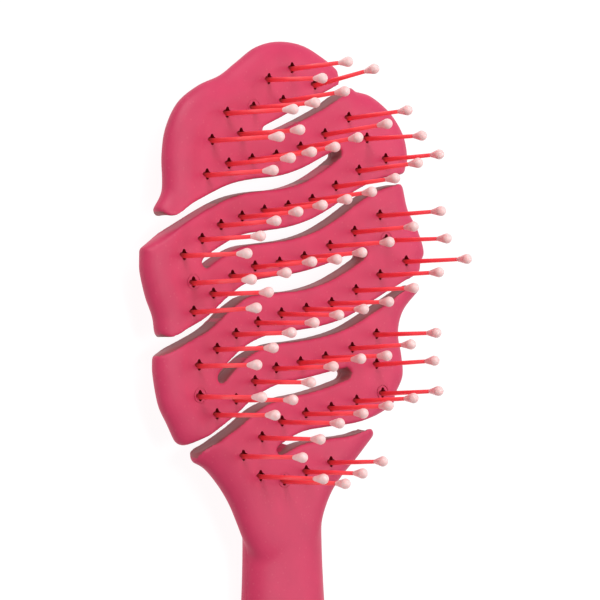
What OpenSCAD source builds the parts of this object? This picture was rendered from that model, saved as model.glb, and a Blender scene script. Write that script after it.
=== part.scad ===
// Vented brush: a serpentine head of seven alternating slots on a flat handle.
// It lies on its back with the pins up. X is across the head, +Y points to the
// tip of the head, Z = 0 is the surface that the back of the grip lies on.

/* [Overall] */
// Length from the tip of the head to the end of the handle
overall_l = 222; // [200:1:250]
// Width of the head over its widest lobes
head_w = 88.4; // [78:0.2:104]
// Length of the head from its tip to the root of the neck
head_l = 98; // [88:1:116]

/* [Head shells] */
// Thickness of the head, face to back
head_t = 6.5; // [6:0.1:8.5]
// Thickness of the back cover
cover_t = 1.8; // [1.4:0.1:2.4]
// Thickness of the face over the pin carriers
face_t = 1.6; // [1.2:0.1:2]
// Width of a slot where its width factor is 1
slot_w = 3; // [2.4:0.1:3.5]

/* [Pins] */
// Distance from the face to the centre of a ball tip
pin_reach = 21.6; // [17:0.1:27]
// Diameter of a pin at its root
pin_root_d = 1.25; // [1.1:0.05:1.6]
// Diameter of a pin where it enters its tip
pin_top_d = 1; // [0.8:0.05:1.2]
// Radial clearance of a pin's root in its carrier
press_fit = 0.02; // [0.01:0.01:0.05]
// Diameter of a ball tip
ball_d = 2.5; // [2.1:0.1:3.2]
// Length of the drop that narrows from the ball down the pin
drop_l = 3.2; // [2.4:0.1:4.5]
// Length of the pin held inside its tip
socket_l = 2.4; // [1.5:0.1:3]
// Radial clearance between a pin and its tip
socket_fit = 0.02; // [0.01:0.01:0.05]
// Least gap between a pin's root and its four-lobed hole
hole_gap = 0.23; // [0.08:0.01:0.3]
// Height of the lobes about the mean radius of that hole
hole_lobe = 0.26; // [0.1:0.01:0.3]

/* [Pin carriers] */
// Diameter of the round pad under a pin
pad_d = 5.2; // [4.6:0.1:5.6]
// Width of the strip between two pads
strip_w = 3.6; // [2.8:0.1:4.2]
// Thickness of a carrier
carrier_t = 1.9; // [1.4:0.1:2.4]
// Clearance round a carrier in its channel
channel_fit = 0.3; // [0.2:0.05:0.5]
// Diameter of a stud that holds a carrier up against the face
stud_d = 3; // [2.4:0.1:3.6]

/* [Handle] */
// Greatest width of the grip
grip_w = 28; // [24:0.5:34]
// Greatest thickness of the grip
grip_t = 13; // [11.5:0.5:17]
// Width of the handle at its narrowest
waist_w = 23.6; // [20:0.1:25]

/* [Hidden] */
$fn = 24;

pink = [0.84, 0.27, 0.40];
red = [0.89, 0.19, 0.22];
pearl = [0.96, 0.77, 0.76];

// The plan was drawn on a head 88.4 wide and 98 long, its origin near the middle.
plan_w = 88.4;
plan_l = 98;
kx = head_w / plan_w;
ky = head_l / plan_l;
tip_y = 52.9;                               // tip of the head on the plan
head_x = 0.3 * kx;                          // plan origin in the part
head_y = overall_l / 2 - tip_y * ky;
grip_x = -0.6;                              // centre line of the handle

grip_z = grip_t / 2;                        // middle plane of the handle
waist_t = grip_t * waist_w / grip_w;        // the grip keeps one section shape
face_z = grip_z + waist_t / 2;              // the face runs flush into the handle
back_z = face_z - head_t;
split_z = back_z + cover_t;
carrier_z = face_z - face_t;                // top of the carriers
stud_h = carrier_z - carrier_t - split_z;
hole_r = pin_root_d / 2 + hole_gap + hole_lobe;

smooth = 5;                                 // steps between two curve points

// Catmull-Rom curve through rows of numbers, ends extended straight.
function cr_at(p, i) =
    i < 0 ? 2 * p[0] - p[1] :
    i > len(p) - 1 ? 2 * p[len(p) - 1] - p[len(p) - 2] : p[i];
function cr_mix(a, b, c, d, t) =
    0.5 * ((2 * b) + (c - a) * t + (2 * a - 5 * b + 4 * c - d) * t * t
    + (3 * b - a - 3 * c + d) * t * t * t);
function curve(p, n = smooth) = [
    for (k = [0 : n * (len(p) - 1)])
        let (i = min(floor(k / n), len(p) - 2), t = k / n - i)
            cr_mix(cr_at(p, i - 1), cr_at(p, i), cr_at(p, i + 1), cr_at(p, i + 2), t)
];
function xy(p) = [p[0], p[1]];
function plan(p) = [for (q = p) [q[0] * kx, q[1] * ky]];
function unit(v) = v / norm(v);
function left(v) = [-v[1], v[0]];
function part_of(p, a, b) = [for (k = [a : b]) p[k]];
function reversed(p) = [for (k = [len(p) - 1 : -1 : 0]) p[k]];

// Slots, each from its mouth to its blind end: x, y, width factor.
slots = [
    [[20, 44.6, 0.9], [15.5, 42.2, 1], [10.5, 39.3, 1.1], [4, 36.2, 1.1],
     [-3, 33.1, 0.95], [-8.5, 31, 0.75]],
    [[-45.5, 3.95, 1.2], [-35, 9.2, 1.1], [-26, 13.6, 1], [-19, 16.4, 1], [-12, 17.8, 1],
     [-4, 18.7, 1.05], [3, 20.6, 1.1], [9.5, 23.6, 1], [14.4, 26.2, 0.75]],
    [[38.4, 20.9, 0.75], [29, 19.4, 0.8], [21, 16.2, 0.95], [13, 11.7, 1.05], [6, 8.5, 1.05],
     [-1.5, 6.5, 1], [-9, 5.5, 0.95], [-16, 4.5, 0.9], [-22, 2, 0.85], [-27, -0.8, 0.85]],
    [[-41.8, -21.4, 1], [-34, -18.4, 0.95], [-26.5, -15, 0.95], [-20.5, -10.6, 0.95],
     [-14.5, -7.2, 1.05], [-7, -6, 1.25], [1, -5.2, 1.4], [9, -3.4, 1.4], [16, -0.8, 1.2],
     [22, 1.8, 0.85]],
    [[43.6, -3.5, 0.85], [34, -7, 0.8], [25, -11.3, 0.85], [17, -15, 0.85], [9, -17.1, 0.85],
     [1, -18.2, 0.85], [-7, -19, 0.85], [-14, -21.3, 0.85], [-19.5, -25, 0.85],
     [-22.8, -28, 0.85]],
    [[-33.6, -45.8, 0.95], [-26, -42.6, 0.85], [-18, -38.2, 0.95], [-12, -34.2, 1.05],
     [-5, -31.6, 1.2], [3, -30.4, 1.2], [10, -29, 1.15], [16.3, -27.6, 0.95]],
    [[34.6, -36.8, 1.1], [27, -39.7, 0.95], [18, -41.3, 0.95], [10, -41.9, 0.95],
     [2, -42.9, 0.95], [-5, -45.6, 0.8]]
];
// Corner rounding at each mouth, left bank then right bank seen going in:
// radius, and how far in from the mouth the corner starts.
mouths = [
    [[1.6, 0], [1.6, 3]],
    [[3, 8.2], [0.8, 0]],
    [[1.8, 1.6], [1.8, 0]],
    [[2.4, 3], [0.8, 0]],
    [[1.6, 2.2], [2, 0]],
    [[2.6, 0], [2, 3]],
    [[1.8, 9.6], [1.8, 0]]
];

// One slot as an open line: in along the left bank, round the end, out on the right.
function slot_line(s, m) =
    let (c = curve(s),
         p = plan([for (q = c) xy(q)]),
         w = [for (q = c) q[2] * slot_w / 2],
         n = len(p),
         d = [for (k = [0 : n - 1]) unit(p[min(k + 1, n - 1)] - p[max(k - 1, 0)])],
         run = [for (k = 0, l = 0; k < n; l = l + (k < n - 1 ? norm(p[k + 1] - p[k]) : 0),
                k = k + 1) l],
         end_a = atan2(d[n - 1][1], d[n - 1][0]),
         nose = [for (a = [75 : -30 : -75])
                 p[n - 1] + w[n - 1] * [cos(end_a + a), sin(end_a + a)]])
    concat(bank(p, d, w, run, m[0], 1), nose, reversed(bank(p, d, w, run, m[1], -1)));
function bank(p, d, w, run, m, side) = concat(
    [for (a = [0 : 22.5 : 67.5])
        let (s = m[1] + m[0] * (1 - cos(a)), q = along(p, run, s), v = along(d, run, s))
            q + side * left(v) * (along(w, run, s) + m[0] * (1 - sin(a)))],
    [for (k = [0 : len(p) - 1]) if (run[k] > m[0] + m[1]) p[k] + side * left(d[k]) * w[k]]);
function along(v, run, s) =
    let (k = max([for (j = [0 : len(run) - 2]) if (run[j] <= s) j]))
    v[k] + (v[k + 1] - v[k]) * (s - run[k]) / (run[k + 1] - run[k]);

// The lobes between the mouths, counterclockwise from the tip of the head.
lobes = [
    [[15.5, 47.1], [10.8, 49.9], [4.6, 52.4], [-2.6, 52.9], [-9.3, 51.2], [-15, 47.5],
     [-20.3, 43.9], [-26.8, 41.2], [-32.8, 37], [-36.4, 30.8], [-37.6, 24.4], [-37.5, 18.6],
     [-37.9, 15.4]],
    [[-44.44, -0.6], [-44.3, -3.4], [-42.8, -9], [-40.9, -13.4]],
    [[-40.9, -27.2], [-39.4, -34.2], [-37, -38.6]],
    [[-26, -49.6], [-22, -53.8], [-18.6, -58.6], [-16.2, -63.4], [-13.6, -68.4],
     [-8.6, -73], [5, -73], [7.9, -68.4], [9.6, -62.6], [12.4, -57], [16.4, -52.4],
     [20.2, -49]],
    [[36.2, -28.6], [35.8, -23], [34.9, -19], [35.2, -15.4], [37.2, -11.6]],
    [[43.9, 2.6], [41.7, 8.4], [38.6, 13]],
    [[38.7, 25.8], [37.4, 31.6], [33.2, 37], [26.8, 41]]
];
// A lobe's curve between the slot corners on either side of it.
function lobe_line(from, inner, to) =
    let (c = curve(concat([from], plan(inner), [to]))) part_of(c, 1, len(c) - 2);

banks = [for (k = [0 : 6]) slot_line(slots[k], mouths[k])];
walk = [[0, 1], [1, 3], [3, 5], [5, 6], [6, 4], [4, 2], [2, 0]];
outline = [
    for (k = [0 : 6])
        let (a = banks[walk[k][0]], b = banks[walk[k][1]])
            each concat(lobe_line(a[len(a) - 1], lobes[k], b[0]), b)
];

// Pins of one carrier in order along it: guide points, and the pins a row holds.
rows = [
    [[[6.7, 42.8], [-0.6, 46.4], [-7.8, 43.4], [-3.3, 38.4], [-12.5, 36.4], [-20.6, 34.8],
      [-25.2, 28.2], [-16.4, 30]], 1],
    [[[29.5, 25.5], [23.4, 30.4], [17.4, 35.2], [9.8, 30.9], [2, 27.4], [-5.6, 25.2], [-13.1, 24],
      [-20.2, 22.8], [-26.8, 20]], 1],
    [[[20.7, 22.4], [5.5, 14.8], [-9.5, 11.9], [-22.8, 8.2], [-33.9, 1]], 2],
    [[[35.8, 0.2], [29.4, 5.4], [27.4, 11.5], [19, 7.3], [11, 3.7], [2.8, 0.9], [-5, -0.5],
      [-12.6, -1.5], [-19.5, -3.8], [-25.3, -8], [-31.2, -12.2]], 1],
    [[[27.2, -3.3], [11.3, -10.2], [-4.6, -12.7], [-18.6, -17.5], [-29.8, -24.8]], 2],
    [[[25.7, -25.3], [25.8, -17.9], [17.8, -21.2], [9.2, -23.4], [1.2, -24.5], [-6.4, -25.8],
      [-13, -28.8], [-18.8, -33], [-24.6, -36.4], [-29.6, -32]], 1],
    [[[27.4, -32.5], [10.8, -35.7], [-4.8, -38.6], [-16.8, -46.4]], 2],
    [[[10.4, -48.9], [2.6, -50.8], [-4.3, -52.8], [-11.6, -51.4]], 1]
];
// One pin stands beside the row of the fourth carrier, on its left lobe.
side_pin = [-31.2, -5.4];
function pins(k) = plan(concat(curve(rows[k][0], rows[k][1]), k == 3 ? [side_pin] : []));

module at_head(z = 0) translate([head_x, head_y, z]) children();

// Twelve-sided pads joined by a strip, used for a carrier and, larger, for its channel.
// The strip is a little thinner than the pads, and steps from one span to the next.
module runner(k, grow, h) {
    p = pins(k);
    lap = 0.22 * pad_d;
    union() {
        for (q = p) translate([q[0], q[1], 0]) cylinder(d = pad_d + 2 * grow, h = h, $fn = 12);
        for (i = [0 : len(p) - 2]) {
            v = p[i + 1] - p[i];
            step = 0.2 + 0.1 * (i % 2);
            translate([p[i][0], p[i][1], 0]) rotate(atan2(v[1], v[0]))
                translate([lap, -strip_w / 2 - grow, step])
                    cube([norm(v) - 2 * lap, strip_w + 2 * grow, h - 2 * step]);
        }
    }
}

module pin_hole() {
    linear_extrude(face_t + 0.4)
        polygon([for (a = [0 : 15 : 345]) (hole_r + hole_lobe * cos(4 * a)) * [cos(a), sin(a)]]);
}

// Half widths of the handle along its length, from inside the neck to its end.
neck_y = -44;                               // top of the handle body on the plan
function grip_line() =
    let (w = grip_w / 2, n = waist_w / 2, top = head_y + neck_y * ky,
         end = -overall_l / 2, l = top - end)
    curve([[0.1, top], [0.6 * n, top - 3], [0.9 * n, top - 9], [0.98 * n, top - 16],
           [n, top - 27], [n + 0.2 * (w - n), top - 38], [n + 0.7 * (w - n), end + 0.5 * l],
           [w, end + 0.36 * l], [0.97 * w, end + 20], [0.8 * w, end + 7],
           [0.5 * w, end + 1.8], [0.1, end]], 3);

module grip_body() {
    p = grip_line();
    end = p[len(p) - 1];
    translate([grip_x, 0, grip_z]) scale([1, 1, grip_t / grip_w]) rotate([90, 0, 0])
        rotate_extrude($fn = 48)
            polygon([for (v = concat([[0, p[0][1]]], p, [[0, end[1]]])) [v[0], -v[1]]]);
}

module above(z) translate([-head_w, -overall_l, z]) cube([2 * head_w, 2 * overall_l, 60]);

// Face of the head and the front half of the handle, moulded in one.
module front_shell() {
    color(pink) difference() {
        difference() {
            union() {
                at_head(split_z) linear_extrude(face_z - split_z) polygon(outline);
                intersection() {
                    grip_body();
                    above(split_z);
                }
            }
            for (k = [0 : len(rows) - 1])
                at_head(split_z - 1) runner(k, channel_fit, carrier_z - split_z + 1);
        }
        for (k = [0 : len(rows) - 1])
            for (q = pins(k)) at_head(carrier_z - 0.2) translate([q[0], q[1], 0]) pin_hole();
    }
}

// Back of the head with the studs under the carriers, and the back of the handle.
module back_cover() {
    color(pink) union() {
        difference() {
            union() {
                at_head(back_z) linear_extrude(cover_t) polygon(outline);
                grip_body();
            }
            above(split_z);
        }
        for (k = [0 : len(rows) - 1]) {
            p = pins(k);
            for (i = [0 : 2 : len(p) - 1])
                at_head(split_z - 0.5) translate([p[i][0], p[i][1], 0])
                    cylinder(d = stud_d, h = stud_h + 0.5);
        }
    }
}

// A strip of flexible plastic under one row of holes, bored for its pins.
module carrier(k) {
    color(red) at_head(carrier_z - carrier_t) difference() {
        runner(k, 0, carrier_t);
        for (q = pins(k)) translate([q[0], q[1], -1])
            cylinder(d = pin_root_d + 2 * press_fit, h = carrier_t + 2);
    }
}

// The pins of one carrier: a straight root in its bore, a slim taper, and a straight
// end in the socket of its tip.
pin_end = face_z + pin_reach - ball_d / 2 - drop_l + socket_l;
module pin_row(k) {
    z0 = carrier_z - carrier_t;
    color(red) for (q = pins(k)) at_head(z0) translate([q[0], q[1], 0])
        rotate_extrude() polygon([
            [0, 0], [pin_root_d / 2, 0], [pin_root_d / 2, carrier_t],
            [pin_top_d / 2, pin_end - socket_l - z0], [pin_top_d / 2, pin_end - z0],
            [0, pin_end - z0]
        ]);
}

// Drop-shaped tips of one carrier, each with a socket for the end of its pin.
module balls(k) {
    r = ball_d / 2;
    low = pin_end - socket_l;
    hole = pin_top_d / 2 + socket_fit;
    color(pearl) for (q = pins(k)) at_head() translate([q[0], q[1], 0]) rotate_extrude()
        polygon(concat(
            [[hole, low], [hole + 0.15, low], [hole + 0.3, low + 0.4 * drop_l]],
            [for (a = [-35 : 12.5 : 90]) [r * cos(a), face_z + pin_reach + r * sin(a)]],
            [[0, pin_end + 0.02], [hole, pin_end + 0.02]]));
}

front_shell();
back_cover();
carrier(0);  // carrier_tip_lobe
carrier(1);  // carrier_band_1
carrier(2);  // carrier_band_2
carrier(3);  // carrier_band_3
carrier(4);  // carrier_band_4
carrier(5);  // carrier_band_5
carrier(6);  // carrier_band_6
carrier(7);  // carrier_neck
pin_row(0);  // pins_tip_lobe
pin_row(1);  // pins_band_1
pin_row(2);  // pins_band_2
pin_row(3);  // pins_band_3
pin_row(4);  // pins_band_4
pin_row(5);  // pins_band_5
pin_row(6);  // pins_band_6
pin_row(7);  // pins_neck
balls(0);  // balls_tip_lobe
balls(1);  // balls_band_1
balls(2);  // balls_band_2
balls(3);  // balls_band_3
balls(4);  // balls_band_4
balls(5);  // balls_band_5
balls(6);  // balls_band_6
balls(7);  // balls_neck
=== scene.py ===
import math
import bmesh
import bpy
from mathutils import Matrix, Vector, kdtree


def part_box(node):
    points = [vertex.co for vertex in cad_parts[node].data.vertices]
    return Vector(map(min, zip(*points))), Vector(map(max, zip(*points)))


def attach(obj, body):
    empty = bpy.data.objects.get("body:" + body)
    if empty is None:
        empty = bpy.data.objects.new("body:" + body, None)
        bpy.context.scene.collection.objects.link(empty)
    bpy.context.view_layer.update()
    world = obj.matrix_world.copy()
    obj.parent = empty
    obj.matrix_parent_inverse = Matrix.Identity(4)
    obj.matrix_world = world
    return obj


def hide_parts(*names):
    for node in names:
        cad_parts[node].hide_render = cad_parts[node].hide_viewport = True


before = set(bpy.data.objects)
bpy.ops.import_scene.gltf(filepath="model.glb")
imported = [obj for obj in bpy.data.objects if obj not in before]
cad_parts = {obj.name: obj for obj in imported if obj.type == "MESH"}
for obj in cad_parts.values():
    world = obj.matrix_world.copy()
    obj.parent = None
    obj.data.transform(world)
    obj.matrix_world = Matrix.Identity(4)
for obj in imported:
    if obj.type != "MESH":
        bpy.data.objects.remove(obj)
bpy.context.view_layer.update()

# Camera. It stands to the left of the brush, turned 40 degrees from the face, and
# looks at the head from a little over half a metre with a long lens.
view = bpy.data.cameras.new("view")
view.lens = 168
view.sensor_width = 36
camera = bpy.data.objects.new("camera", view)
camera.matrix_world = Matrix(((0.7660, 0.0, -0.6428, -0.43275),
                              (-0.0112, 0.99985, -0.0134, 0.0395),
                              (0.6427, 0.0175, 0.7659, 0.5291),
                              (0, 0, 0, 1)))
bpy.context.scene.collection.objects.link(camera)
bpy.context.scene.camera = camera
bpy.context.scene.view_settings.view_transform = "Standard"

# Studio. A plain white light table under the brush, a bright even room, and three broad
# soft lights: beyond the tip of the head, overhead, and low on the right for a sheen.
table_reach = 3
bm = bmesh.new()
bmesh.ops.create_grid(bm, x_segments=1, y_segments=1, size=table_reach)
table_mesh = bpy.data.meshes.new("table")
bm.to_mesh(table_mesh)
bm.free()
table = bpy.data.objects.new("table", table_mesh)
bpy.context.scene.collection.objects.link(table)
paper = bpy.data.materials.new("white_table")
paper.use_nodes = True
shade = paper.node_tree.nodes["Principled BSDF"]
shade.inputs["Base Color"].default_value = (0.12, 0.12, 0.12, 1)
shade.inputs["Roughness"].default_value = 0.9
shade.inputs["Emission Color"].default_value = (1, 1, 1, 1)
shade.inputs["Emission Strength"].default_value = 0.93
table_mesh.materials.append(paper)

room = bpy.data.worlds.new("room")
room.use_nodes = True
room.node_tree.nodes["Background"].inputs["Color"].default_value = (1, 1, 1, 1)
room.node_tree.nodes["Background"].inputs["Strength"].default_value = 0.32
bpy.context.scene.world = room


def soft_light(name, place, size, power):
    """A round studio light of a size in metres and a power in watts, aimed at the head."""
    head_middle = Vector((0, 0.04, 0))
    lamp = bpy.data.lights.new(name, "AREA")
    lamp.shape = "DISK"
    lamp.size = size
    lamp.energy = power
    stand = bpy.data.objects.new(name, lamp)
    stand.location = place
    aim = head_middle - Vector(place)
    stand.rotation_euler = aim.to_track_quat("-Z", "Y").to_euler()
    bpy.context.scene.collection.objects.link(stand)


soft_light("key_light", (-0.2, 1.0, 1.0), 0.8, 9.5)
soft_light("top_light", (0.05, 0.1, 1.4), 0.5, 5)
soft_light("side_light", (0.9, 0.1, 1.15), 1.2, 7)

# Head plate, the flat part of both mouldings. It is a serpentine plate of plant-fibre
# plastic with seven slots that open right and left in turn. Its plan is a lobe, a slot,
# a lobe and so on round the head. Plans, profiles and leans are in millimetres, plans from
# a middle that lies at head_at. Heights, depths and radii that are used alone are in metres.
mm = 0.001
middle_x, middle_to_tip = 0.0003, 0.0529
head_at = Vector((middle_x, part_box("back_cover")[1].y - middle_to_tip, 0))
back_z = 0.0054786
face_z = 0.0119786
skin_step = 0.00045

# Each slot from its mouth to its blind end: x, y, share of the slot width.
slots = [
    [(20, 44.6, .9), (15.5, 42.2, 1), (10.5, 39.3, 1.1), (4, 36.2, 1.1), (-3, 33.1, .95),
     (-8.5, 31, .75)],
    [(-45.5, 3.95, 1.2), (-35, 9.2, 1.1), (-26, 13.6, 1), (-19, 16.4, 1), (-12, 17.8, 1),
     (-4, 18.7, 1.05), (3, 20.6, 1.1), (9.5, 23.6, 1), (14.4, 26.2, .75)],
    [(38.4, 20.9, .75), (29, 19.4, .8), (21, 16.2, .95), (13, 11.7, 1.05), (6, 8.5, 1.05),
     (-1.5, 6.5, 1), (-9, 5.5, .95), (-16, 4.5, .9), (-22, 2, .85), (-27, -.8, .85)],
    [(-41.8, -21.4, 1), (-34, -18.4, .95), (-26.5, -15, .95), (-20.5, -10.6, .95),
     (-14.5, -7.2, 1.05), (-7, -6, 1.25), (1, -5.2, 1.4), (9, -3.4, 1.4), (16, -.8, 1.2),
     (22, 1.8, .85)],
    [(43.6, -3.5, .85), (34, -7, .8), (25, -11.3, .85), (17, -15, .85), (9, -17.1, .85),
     (1, -18.2, .85), (-7, -19, .85), (-14, -21.3, .85), (-19.5, -25, .85),
     (-22.8, -28, .85)],
    [(-33.6, -45.8, .95), (-26, -42.6, .85), (-18, -38.2, .95), (-12, -34.2, 1.05),
     (-5, -31.6, 1.2), (3, -30.4, 1.2), (10, -29, 1.15), (16.3, -27.6, .95)],
    [(34.6, -36.8, 1.1), (27, -39.7, .95), (18, -41.3, .95), (10, -41.9, .95),
     (2, -42.9, .95), (-5, -45.6, .8)],
]
# Each mouth's left and right corner: radius, and how far in from the mouth it starts.
mouths = [((1.6, 0), (1.6, 3)), ((3, 8.2), (.8, 0)), ((1.8, 1.6), (1.8, 0)),
          ((2.4, 3), (.8, 0)), ((1.6, 2.2), (2, 0)), ((2.6, 0), (2, 3)), ((1.8, 9.6), (1.8, 0))]
# The lobes between the mouths, counterclockwise from the tip of the head.
lobes = [
    [(15.5, 47.1), (10.8, 49.9), (4.6, 52.4), (-2.6, 52.9), (-9.3, 51.2), (-15, 47.5),
     (-20.3, 43.9), (-26.8, 41.2), (-32.8, 37), (-36.4, 30.8), (-37.6, 24.4),
     (-37.5, 18.6), (-37.9, 15.4)],
    [(-44.44, -.6), (-44.3, -3.4), (-42.8, -9), (-40.9, -13.4)],
    [(-40.9, -27.2), (-39.4, -34.2), (-37, -38.6)],
    [(-26, -49.6), (-22, -53.8), (-18.6, -58.6), (-16.2, -63.4), (-13.6, -68.4),
     (-8.6, -73), (5, -73), (7.9, -68.4), (9.6, -62.6), (12.4, -57), (16.4, -52.4),
     (20.2, -49)],
    [(36.2, -28.6), (35.8, -23), (34.9, -19), (35.2, -15.4), (37.2, -11.6)],
    [(43.9, 2.6), (41.7, 8.4), (38.6, 13)],
    [(38.7, 25.8), (37.4, 31.6), (33.2, 37), (26.8, 41)],
]
slot_width = 3
round_the_head = [(0, 1), (1, 3), (3, 5), (5, 6), (6, 4), (4, 2), (2, 0)]


def curve_through(points, steps):
    """A smooth curve through points of any number of values."""
    points = [Vector(p) for p in points]
    ends = [2 * points[0] - points[1]] + points + [2 * points[-1] - points[-2]]
    line = []
    for i in range(len(points) - 1):
        a, b, c, d = ends[i:i + 4]
        for s in range(steps):
            t = s / steps
            line.append(0.5 * (2 * b + (c - a) * t + (2 * a - 5 * b + 4 * c - d) * t * t
                               + (3 * b - a - 3 * c + d) * t ** 3))
    return line + [points[-1]]


def slot_banks(guide, mouth):
    """A slot as one line: in along its left bank, round its end, out along the right."""
    line = curve_through(guide, 5)
    mid = [p.to_2d() for p in line]
    half = [p.z * slot_width / 2 for p in line]
    last = len(mid) - 1
    ahead = [(mid[min(k + 1, last)] - mid[max(k - 1, 0)]).normalized() for k in range(last + 1)]
    run = [0]
    for a, b in zip(mid, mid[1:]):
        run.append(run[-1] + (b - a).length)

    def between(values, s):
        k = max(j for j in range(last) if run[j] <= s)
        return values[k] + (values[k + 1] - values[k]) * ((s - run[k]) / (run[k + 1] - run[k]))

    def bank(corner, side):
        radius, start = corner
        points = []
        for a in (0, 22.5, 45, 67.5):
            s = start + radius * (1 - math.cos(math.radians(a)))
            out = between(half, s) + radius * (1 - math.sin(math.radians(a)))
            points.append(between(mid, s) + side * out * between(ahead, s).orthogonal())
        for k in range(last + 1):
            if run[k] > radius + start:
                points.append(mid[k] + side * half[k] * ahead[k].orthogonal())
        return points

    toward = math.atan2(ahead[last].y, ahead[last].x)
    nose = []
    for a in (75, 45, 15, -15, -45, -75):
        turn = toward + math.radians(a)
        nose.append(mid[last] + half[last] * Vector((math.cos(turn), math.sin(turn))))
    return bank(mouth[0], 1) + nose + bank(mouth[1], -1)[::-1]


banks = [slot_banks(s, m) for s, m in zip(slots, mouths)]
outline = []
for (a, b), lobe in zip(round_the_head, lobes):
    outline += curve_through([banks[a][-1], *lobe, banks[b][0]], 6)[1:-1] + banks[b]

bm = bmesh.new()
ring = [bm.verts.new((head_at.x + p.x * mm, head_at.y + p.y * mm, back_z)) for p in outline]
plate_face = bm.faces.new(ring)
lifted = bmesh.ops.extrude_face_region(bm, geom=[plate_face])["geom"]
bmesh.ops.translate(bm, vec=(0, 0, face_z - back_z),
                    verts=[v for v in lifted if isinstance(v, bmesh.types.BMVert)])
bmesh.ops.recalc_face_normals(bm, faces=bm.faces)


def new_piece(name, bm):
    mesh = bpy.data.meshes.new(name)
    bm.to_mesh(mesh)
    bm.free()
    piece = bpy.data.objects.new(name, mesh)
    bpy.context.scene.collection.objects.link(piece)
    return piece


def settle(piece):
    """Makes the result of a piece's modifiers its own mesh."""
    solid = bpy.data.meshes.new_from_object(
        piece.evaluated_get(bpy.context.evaluated_depsgraph_get()))
    piece.modifiers.clear()
    piece.data = solid


def even_mesh(piece, size):
    """Turns closed shapes that overlap into one skin of even small faces."""
    skin = piece.modifiers.new("even", "REMESH")
    skin.mode = "VOXEL"
    skin.voxel_size = size
    settle(piece)


head = new_piece("head_plate", bm)
even_mesh(head, skin_step)

# Rolled rim. The plate's outer edge is a soft bullnose, wide and deep towards the face
# and small towards the back, so each slot runs out in a low rounded mouth. Inside the
# rim the face is a shade lower, where the pins stand.
rim_step = 0.3


def across_mouth(here, there):
    """Evenly spaced points straight across a mouth, from one lobe's end to the next lobe."""
    gap = there - here
    steps = int(gap.length / rim_step) + 1
    return [here + gap * k / steps for k in range(1, steps)]


sides = [[p.to_2d() for p in curve_through([banks[a][-1], *lobe, banks[b][0]], 16)]
         for (a, b), lobe in zip(round_the_head, lobes)]
rim_line = []
for side, next_side in zip(sides, sides[1:] + sides[:1]):
    rim_line += side + across_mouth(side[-1], next_side[0])
rim = kdtree.KDTree(len(rim_line))
rim_in = []
for i, p in enumerate(rim_line):
    along = rim_line[(i + 2) % len(rim_line)] - rim_line[i - 2]
    rim_in.append(along.orthogonal().normalized())
    rim.insert((p.x, p.y, 0), i)
rim.balance()
widest_z = 0.009
front_roll, back_roll = 7.0, 5.0
face_drop = 0.0003
drop_depth, drop_y = (5, 9.5), (-64, -52)


def ease(x, a, b):
    """Runs smoothly from 0 at a to 1 at b."""
    t = min(max((x - a) / (b - a), 0), 1)
    return t * t * (3 - 2 * t)


for v in head.data.vertices:
    here = Vector(((v.co.x - head_at.x) / mm, (v.co.y - head_at.y) / mm))
    near, index, gap = rim.find((here.x, here.y, 0))
    inward = rim_in[index]
    away = here - near.to_2d()
    out = away.dot(inward) < 0
    depth = 0 if out else away.dot(inward) if gap < 1 else gap
    way = inward if out or gap < 1 else away / gap
    top = v.co.z > widest_z
    roll = front_roll if top else back_roll
    reach = (face_z if top else back_z) - widest_z
    u = max(1 - depth / roll, 0)
    w = (v.co.z - widest_z) / reach
    moved = way * (roll * (1 - u * math.sqrt(1 - w * w / 2)) - depth if u > 0 else 0)
    v.co.x += moved.x * mm
    v.co.y += moved.y * mm
    v.co.z = widest_z + reach * w * math.sqrt(1 - u * u / 2)
    if top:
        inner = ease(depth, *drop_depth) * ease(here.y, *drop_y)
        v.co.z -= face_drop * inner * w

# Handle, the lower part of both mouldings: a flattened round grip that swells towards
# its end and runs up into the neck, where it is blended into the face of the head.
waist, wide, top, end = 11.8, 14.0, (head_at.y / mm) - 44, -111.0
length = top - end
grip_x, grip_z, flatness = -0.0006, 0.0065, 13 / 28
profile = curve_through([
    (0.1, top), (0.6 * waist, top - 3), (0.9 * waist, top - 9), (0.98 * waist, top - 16),
    (waist, top - 27), (waist + 0.2 * (wide - waist), top - 38),
    (waist + 0.7 * (wide - waist), end + 0.5 * length), (wide, end + 0.36 * length),
    (0.97 * wide, end + 20), (0.8 * wide, end + 7), (0.5 * wide, end + 1.8), (0, end)], 8)
bm = bmesh.new()
line = [bm.verts.new((max(p.x, 0) * mm, p.y * mm, 0)) for p in profile]
line.insert(0, bm.verts.new((0, top * mm, 0)))
for a, b in zip(line, line[1:]):
    bm.edges.new((a, b))
bmesh.ops.spin(bm, geom=bm.verts[:] + bm.edges[:], cent=(0, 0, 0), axis=(0, 1, 0),
               angle=math.tau, steps=72, use_merge=True)
bmesh.ops.remove_doubles(bm, verts=bm.verts, dist=1e-6)
bmesh.ops.scale(bm, vec=(1, 1, flatness), verts=bm.verts)
bmesh.ops.translate(bm, vec=(grip_x, 0, grip_z), verts=bm.verts)
bmesh.ops.recalc_face_normals(bm, faces=bm.faces)
bm.from_mesh(head.data)
bpy.data.objects.remove(head)
body = new_piece("body", bm)
even_mesh(body, skin_step)

neck_from_grip, neck_from_head = (-88, -76), (-48, -56)
neck = body.vertex_groups.new(name="neck")
for v in body.data.vertices:
    y = (v.co.y - head_at.y) / mm
    weight = ease(y, *neck_from_grip) * ease(y, *neck_from_head)
    if weight > 0.01:
        neck.add([v.index], weight, "REPLACE")
blend = body.modifiers.new("neck_blend", "SMOOTH")
blend.factor = 0.5
blend.iterations = 60
blend.vertex_group = "neck"
soften = body.modifiers.new("soft_edges", "SMOOTH")
soften.factor = 0.5
soften.iterations = 3
settle(body)

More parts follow.
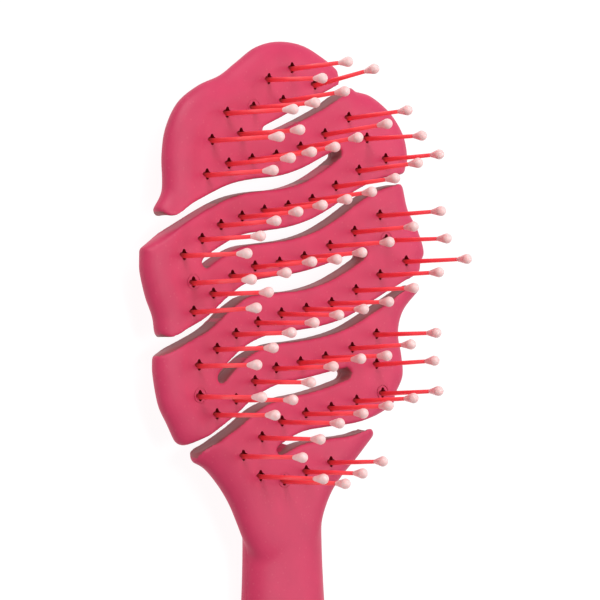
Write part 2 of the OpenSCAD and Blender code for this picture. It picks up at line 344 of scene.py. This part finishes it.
# Shell plastic: satin pink with the fine flecks and faint clouds of plant fibre. The slot
# walls are painted darker and greyer, as painted shade and a painted grey reflection, and
# the pin holes dark red, as painted shade.
def plastic(name, tint, fleck_tint, rough):
    stuff = bpy.data.materials.new(name)
    stuff.use_nodes = True
    nodes, links = stuff.node_tree.nodes, stuff.node_tree.links
    skin = nodes["Principled BSDF"]
    place = nodes.new("ShaderNodeTexCoord")
    clouds = nodes.new("ShaderNodeTexNoise")
    clouds.inputs["Scale"].default_value = 140
    clouds.inputs["Detail"].default_value = 6
    links.new(place.outputs["Object"], clouds.inputs["Vector"])
    cloud_mix = nodes.new("ShaderNodeMix")
    cloud_mix.data_type = "RGBA"
    cloud_mix.inputs["A"].default_value = (*[c * 0.86 for c in tint], 1)
    cloud_mix.inputs["B"].default_value = (*[min(c * 1.14, 1) for c in tint], 1)
    links.new(clouds.outputs["Fac"], cloud_mix.inputs["Factor"])
    flecks = nodes.new("ShaderNodeTexVoronoi")
    flecks.inputs["Scale"].default_value = 620
    flecks.inputs["Randomness"].default_value = 1
    links.new(place.outputs["Object"], flecks.inputs["Vector"])
    fleck_size = nodes.new("ShaderNodeMapRange")
    fleck_size.inputs["From Min"].default_value = 0.06
    fleck_size.inputs["From Max"].default_value = 0.2
    fleck_size.inputs["To Min"].default_value = 0.12
    fleck_size.inputs["To Max"].default_value = 0
    links.new(flecks.outputs["Distance"], fleck_size.inputs["Value"])
    fleck_mix = nodes.new("ShaderNodeMix")
    fleck_mix.data_type = "RGBA"
    fleck_mix.inputs["B"].default_value = (*fleck_tint, 1)
    links.new(fleck_size.outputs["Result"], fleck_mix.inputs["Factor"])
    links.new(cloud_mix.outputs["Result"], fleck_mix.inputs["A"])
    links.new(fleck_mix.outputs["Result"], skin.inputs["Base Color"])
    skin.inputs["Specular IOR Level"].default_value = 0.35
    grain = nodes.new("ShaderNodeTexNoise")
    grain.inputs["Scale"].default_value = 1500
    grain.inputs["Detail"].default_value = 3
    links.new(place.outputs["Object"], grain.inputs["Vector"])
    bump = nodes.new("ShaderNodeBump")
    bump.inputs["Strength"].default_value = 0.12
    bump.inputs["Distance"].default_value = 0.0002
    links.new(grain.outputs["Fac"], bump.inputs["Height"])
    links.new(bump.outputs["Normal"], skin.inputs["Normal"])
    gloss = nodes.new("ShaderNodeMapRange")
    gloss.inputs["To Min"].default_value = rough - 0.07
    gloss.inputs["To Max"].default_value = rough + 0.07
    links.new(clouds.outputs["Fac"], gloss.inputs["Value"])
    links.new(gloss.outputs["Result"], skin.inputs["Roughness"])
    return stuff


shell_skin = plastic("shell_pink", (0.61, 0.038, 0.112), (0.78, 0.22, 0.28), 0.46)
slot_wall_painted_shade = plastic("slot_wall_painted_shade", (0.36, 0.085, 0.10), (0.45, 0.22, 0.24), 0.5)
hole_painted_shade = plastic("hole_painted_shade", (0.26, 0.004, 0.012), (0.2, 0.01, 0.02), 0.5)

# The two mouldings. The body is parted just above the back, and both halves draw in by
# a hair at the seam, so the weld shows as a fine line round the flank.
# Each row's guide (foot x and y, lean of the tip in x and y), and its steps between points.
rows = {
    "tip_lobe": ([(6.7, 42.8, 0, 2), (-.6, 46.4, -1, -.4), (-7.8, 43.4, -1.7, -1.7),
                  (-3.3, 38.4, .6, .6), (-12.5, 36.4, .6, -.5), (-20.6, 34.8, 2.2, -.7),
                  (-25.2, 28.2, 2.6, -.6), (-16.4, 30, -.2, -.6)], 1),
    "band_1": ([(29.5, 25.5, -2.2, -.3), (23.4, 30.4, -1.7, -.9), (17.4, 35.2, -.3, .2),
                (9.8, 30.9, .8, 1), (2, 27.4, -.7, .9), (-5.6, 25.2, -.3, .6),
                (-13.1, 24, 0, .4), (-20.2, 22.8, .7, 0), (-26.8, 20, 2.2, -.2)], 1),
    "band_2": ([(20.7, 22.4, -.4, .5), (5.5, 14.8, -.1, .8), (-9.5, 11.9, -.5, .2),
                (-22.8, 8.2, -1.2, 0), (-33.9, 1, 1.2, -.4)], 2),
    "band_3": ([(35.8, .2, .2, -.2), (29.4, 5.4, 0, -.5), (27.4, 11.5, .2, 0),
                (19, 7.3, -.4, .3), (11, 3.7, -.2, .1), (2.8, .9, -.7, .3),
                (-5, -.5, -.7, 0), (-12.6, -1.5, -.8, .4), (-19.5, -3.8, -1.6, .1),
                (-25.3, -8, -1.2, -.2), (-31.2, -12.2, 1.1, .4)], 1),
    "band_4": ([(27.2, -3.3, -.5, 0), (11.3, -10.2, -.9, -.2), (-4.6, -12.7, -.7, -.8),
                (-18.6, -17.5, -1.2, 0), (-29.8, -24.8, -.4, 0)], 2),
    "band_5": ([(25.7, -25.3, -.8, .7), (25.8, -17.9, -.2, 0), (17.8, -21.2, -.5, .6),
                (9.2, -23.4, .4, .2), (1.2, -24.5, .2, .7), (-6.4, -25.8, -.8, .3),
                (-13, -28.8, -1.1, -.3), (-18.8, -33, -.8, 0), (-24.6, -36.4, -.4, 0),
                (-29.6, -32, .8, -.2)], 1),
    "band_6": ([(27.4, -32.5, -1.3, .6), (10.8, -35.7, -.9, .6), (-4.8, -38.6, -.7, -.2),
                (-16.8, -46.4, -.1, 0)], 2),
    "neck": ([(10.4, -48.9, -2.4, .7), (2.6, -50.8, -1.1, 0), (-4.3, -52.8, .4, -.2),
              (-11.6, -51.4, 1, -.2)], 1),
}
pins = {row: curve_through(guide, steps) for row, (guide, steps) in rows.items()}
pins["band_3"].append(Vector((-31.2, -5.4, -.3, .1)))
feet = {row: [head_at + p.to_2d().to_3d() * mm for p in line] for row, line in pins.items()}

split_z = 0.0072786
seam_draw = 0.00007
wall_reach = 3.6
hole_mean, hole_lobe, hole_depth = 1.12, 0.26, 0.0019
ring_radius, ring_depth = 0.0019, 0.00042
bm = bmesh.new()
for row in feet:
    for foot in feet[row]:
        petals = []
        for k in range(24):
            a = math.tau * k / 24
            r = (hole_mean + hole_lobe * math.cos(4 * a)) * mm
            petals.append(bm.verts.new((foot.x + r * math.cos(a), foot.y + r * math.sin(a),
                                        face_z - hole_depth)))
        bmesh.ops.extrude_face_region(bm, geom=[bm.faces.new(petals)])
        bm.verts.ensure_lookup_table()
        bmesh.ops.translate(bm, vec=(0, 0, 0.004), verts=bm.verts[-24:])
# Painted shade: the punch's faces give the hole walls and floors the dark red hole material.
for f in bm.faces:
    f.material_index = 2
for x, y in ((-12.5, 36.4), (29.4, 5.4), (-31.2, -5.4), (-29.6, -32), (27.4, -32.5),
             (-4.3, -52.8)):
    spot = head_at + Vector((x * mm, y * mm, face_z - ring_depth))
    edge = bmesh.ops.create_circle(bm, segments=40, radius=ring_radius,
                                   matrix=Matrix.Translation(spot))["verts"]
    hoop = bmesh.ops.extrude_edge_only(bm, edges=list({e for v in edge for e in v.link_edges}))
    inner = [v for v in hoop["geom"] if isinstance(v, bmesh.types.BMVert)]
    bmesh.ops.scale(bm, vec=(0.9, 0.9, 1), verts=inner, space=Matrix.Translation(-spot))
    flat = list({f for v in inner for f in v.link_faces})
    up = bmesh.ops.extrude_face_region(bm, geom=flat)["geom"]
    bmesh.ops.translate(bm, vec=(0, 0, 0.003),
                        verts=[v for v in up if isinstance(v, bmesh.types.BMVert)])
bmesh.ops.recalc_face_normals(bm, faces=bm.faces)
punch = new_piece("hole_punch", bm)


def drop_slivers(piece):
    """Takes away the loose slivers that a cut can leave beside the moulding."""
    bm = bmesh.new()
    bm.from_mesh(piece.data)
    bmesh.ops.dissolve_degenerate(bm, edges=bm.edges, dist=2e-6)
    left = set(bm.faces)
    while left:
        shell, edge = [], [left.pop()]
        while edge:
            face = edge.pop()
            shell.append(face)
            near = {f for e in face.edges if len(e.link_faces) == 2 for f in e.link_faces} & left
            left -= near
            edge += near
        if len(shell) < 50:
            bmesh.ops.delete(bm, geom=shell, context="FACES")
    bm.to_mesh(piece.data)
    bm.free()


slot_lines = kdtree.KDTree(1000)
for guide in slots:
    for i, p in enumerate(curve_through(guide, 12)[2:]):
        slot_lines.insert((p.x, p.y, 0), i)
slot_lines.balance()

for node, keep_above in (("front_shell", True), ("back_cover", False)):
    bm = bmesh.new()
    bm.from_mesh(body.data)
    bmesh.ops.bisect_plane(bm, geom=bm.verts[:] + bm.edges[:] + bm.faces[:], dist=1e-7,
                           plane_co=(0, 0, split_z), plane_no=(0, 0, 1),
                           clear_inner=keep_above, clear_outer=not keep_above)
    bm.normal_update()
    seam = [e for e in bm.edges if e.is_boundary]
    for v in {v for e in seam for v in e.verts}:
        v.co -= Vector((v.normal.x, v.normal.y, 0)).normalized() * seam_draw
    bmesh.ops.triangle_fill(bm, edges=seam, use_beauty=True)
    bmesh.ops.recalc_face_normals(bm, faces=bm.faces)
    piece = new_piece(node + "_moulding", bm)
    piece.data.materials.clear()
    for skin in (shell_skin, slot_wall_painted_shade, hole_painted_shade):
        piece.data.materials.append(skin)
    if keep_above:
        holes = piece.modifiers.new("holes", "BOOLEAN")
        holes.operation = "DIFFERENCE"
        holes.solver = "EXACT"
        holes.object = punch
        settle(piece)
        drop_slivers(piece)
    # Painted shade and reflection: steep faces along the slots that do not face out of the head
    # take the darker, greyer slot wall material.
    for f in piece.data.polygons:
        f.use_smooth = True
        if f.material_index == 0 and abs(f.normal.z) < 0.5:
            spot = Vector(((f.center.x - head_at.x) / mm, (f.center.y - head_at.y) / mm, 0))
            inward = rim_in[rim.find(spot)[1]]
            in_slot = slot_lines.find(spot)[2] < wall_reach
            if in_slot and -f.normal.to_2d().dot(inward) < 0.6:
                f.material_index = 1
    piece.data.set_sharp_from_angle(angle=math.radians(48))
    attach(piece, "root")
    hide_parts(node)
bpy.data.objects.remove(punch)
bpy.data.objects.remove(body)

# Carriers, the red strips of softer plastic behind the face, coloured a dark red that is
# painted shade. They only show as the floor of the pin holes.
carrier_shade_skin = plastic("carrier_red_painted_shade", (0.30, 0.008, 0.016), (0.25, 0.02, 0.03), 0.5)
for name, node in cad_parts.items():
    if name.startswith("carrier"):
        node.data.materials.clear()
        node.data.materials.append(carrier_shade_skin)

# Pins, 68 slim tapers of clear red nylon, each with its root in a carrier, a hair below
# the middle of its hole. None stands quite straight, and each tip is off to one side by
# the millimetres given with its foot.
pin_glow_skin = bpy.data.materials.new("pin_red_painted_glow")
pin_glow_skin.use_nodes = True
nodes, links = pin_glow_skin.node_tree.nodes, pin_glow_skin.node_tree.links
gloss = nodes["Principled BSDF"]
gloss.inputs["Subsurface Weight"].default_value = 0.3
gloss.inputs["Subsurface Radius"].default_value = (0.0012, 0.0003, 0.0003)
gloss.inputs["Subsurface Scale"].default_value = 1
place = nodes.new("ShaderNodeTexCoord")
streak = nodes.new("ShaderNodeTexNoise")
streak.inputs["Scale"].default_value = 300
links.new(place.outputs["Object"], streak.inputs["Vector"])
tone = nodes.new("ShaderNodeMix")
tone.data_type = "RGBA"
tone.inputs["A"].default_value = (0.96, 0.05, 0.07, 1)
tone.inputs["B"].default_value = (1.0, 0.075, 0.095, 1)
links.new(streak.outputs["Fac"], tone.inputs["Factor"])
links.new(tone.outputs["Result"], gloss.inputs["Base Color"])
# Painted glow: the pins' red is also emitted, a painted light that stands in for light passing
# through the clear nylon.
links.new(tone.outputs["Result"], gloss.inputs["Emission Color"])
gloss.inputs["Emission Strength"].default_value = 0.14
shine = nodes.new("ShaderNodeMapRange")
shine.inputs["To Min"].default_value = 0.28
shine.inputs["To Max"].default_value = 0.40
links.new(streak.outputs["Fac"], shine.inputs["Value"])
links.new(shine.outputs["Result"], gloss.inputs["Roughness"])

reach = 0.0216
root_depth, below_tip = 0.0034, 0.0015
root_radius, top_radius = 0.000625, 0.00047
off_middle = 0.3
pin_base = face_z - root_depth
leans = {}
for row in pins:
    for k, p in enumerate(pins[row]):
        leans[row, k] = Vector((p.z * mm, (p.w + off_middle) * mm, reach)).normalized()
stands = {row: [foot - Vector((0, off_middle * mm, 0)) for foot in feet[row]] for row in feet}


def standing_at(place, lean):
    """Moves a shape made upright at the origin to its place, along a pin's lean."""
    return Matrix.Translation(place) @ lean.to_track_quat("Z", "Y").to_matrix().to_4x4()


for row in stands:
    bm = bmesh.new()
    for k, foot in enumerate(stands[row]):
        lean = leans[row, k]
        start = foot + lean * (pin_base - face_z) + Vector((0, 0, face_z))
        long = reach - below_tip + face_z - pin_base
        bmesh.ops.create_cone(bm, cap_ends=True, segments=24, radius1=root_radius,
                              radius2=top_radius, depth=long,
                              matrix=standing_at(start + lean * long / 2, lean))
    piece = new_piece("pins_in_" + row, bm)
    for f in piece.data.polygons:
        f.use_smooth = len(f.vertices) == 4
    piece.data.materials.append(pin_glow_skin)
    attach(piece, "root")
    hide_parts("pins_" + row)

# Tips, pale pink drops moulded onto the pins. Each swells from the pin to a ball of
# 2.5 mm, and its pearly coat is slightly cloudy.
tip_skin = bpy.data.materials.new("tip_pearl")
tip_skin.use_nodes = True
nodes, links = tip_skin.node_tree.nodes, tip_skin.node_tree.links
pearl = nodes["Principled BSDF"]
pearl.inputs["Subsurface Weight"].default_value = 0.2
pearl.inputs["Subsurface Radius"].default_value = (0.0008, 0.0004, 0.0004)
pearl.inputs["Subsurface Scale"].default_value = 1
pearl.inputs["Coat Weight"].default_value = 0.2
place = nodes.new("ShaderNodeTexCoord")
cloud = nodes.new("ShaderNodeTexNoise")
cloud.inputs["Scale"].default_value = 900
cloud.inputs["Detail"].default_value = 4
links.new(place.outputs["Object"], cloud.inputs["Vector"])
tone = nodes.new("ShaderNodeMix")
tone.data_type = "RGBA"
tone.inputs["A"].default_value = (0.95, 0.47, 0.48, 1)
tone.inputs["B"].default_value = (1.0, 0.76, 0.73, 1)
links.new(cloud.outputs["Fac"], tone.inputs["Factor"])
links.new(tone.outputs["Result"], pearl.inputs["Base Color"])
grain = nodes.new("ShaderNodeBump")
grain.inputs["Strength"].default_value = 0.12
grain.inputs["Distance"].default_value = 0.0002
links.new(cloud.outputs["Fac"], grain.inputs["Height"])
links.new(grain.outputs["Normal"], pearl.inputs["Normal"])
pearl.inputs["Roughness"].default_value = 0.38

ball = 1.25
drop = [(0, -3.25), (0.52, -3.2), (0.62, -2.9), (0.74, -2.3), (0.90, -1.6), (1.08, -0.85)]
drop += [(ball * math.cos(math.radians(a)), ball * math.sin(math.radians(a)))
         for a in range(-20, 86, 15)] + [(0, ball)]
for row in stands:
    bm = bmesh.new()
    for k, foot in enumerate(stands[row]):
        lean = leans[row, k]
        centre = foot + lean * reach + Vector((0, 0, face_z))
        stand = standing_at(centre, lean)
        line = [bm.verts.new(stand @ Vector((r * mm, 0, h * mm))) for r, h in drop]
        edges = [bm.edges.new(pair) for pair in zip(line, line[1:])]
        bmesh.ops.spin(bm, geom=line + edges, cent=centre, axis=lean, angle=math.tau,
                       steps=20, use_merge=True)
    bmesh.ops.remove_doubles(bm, verts=bm.verts, dist=2e-6)
    bmesh.ops.recalc_face_normals(bm, faces=bm.faces)
    piece = new_piece("tips_in_" + row, bm)
    for f in piece.data.polygons:
        f.use_smooth = True
    piece.data.materials.append(tip_skin)
    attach(piece, "root")
    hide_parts("balls_" + row)
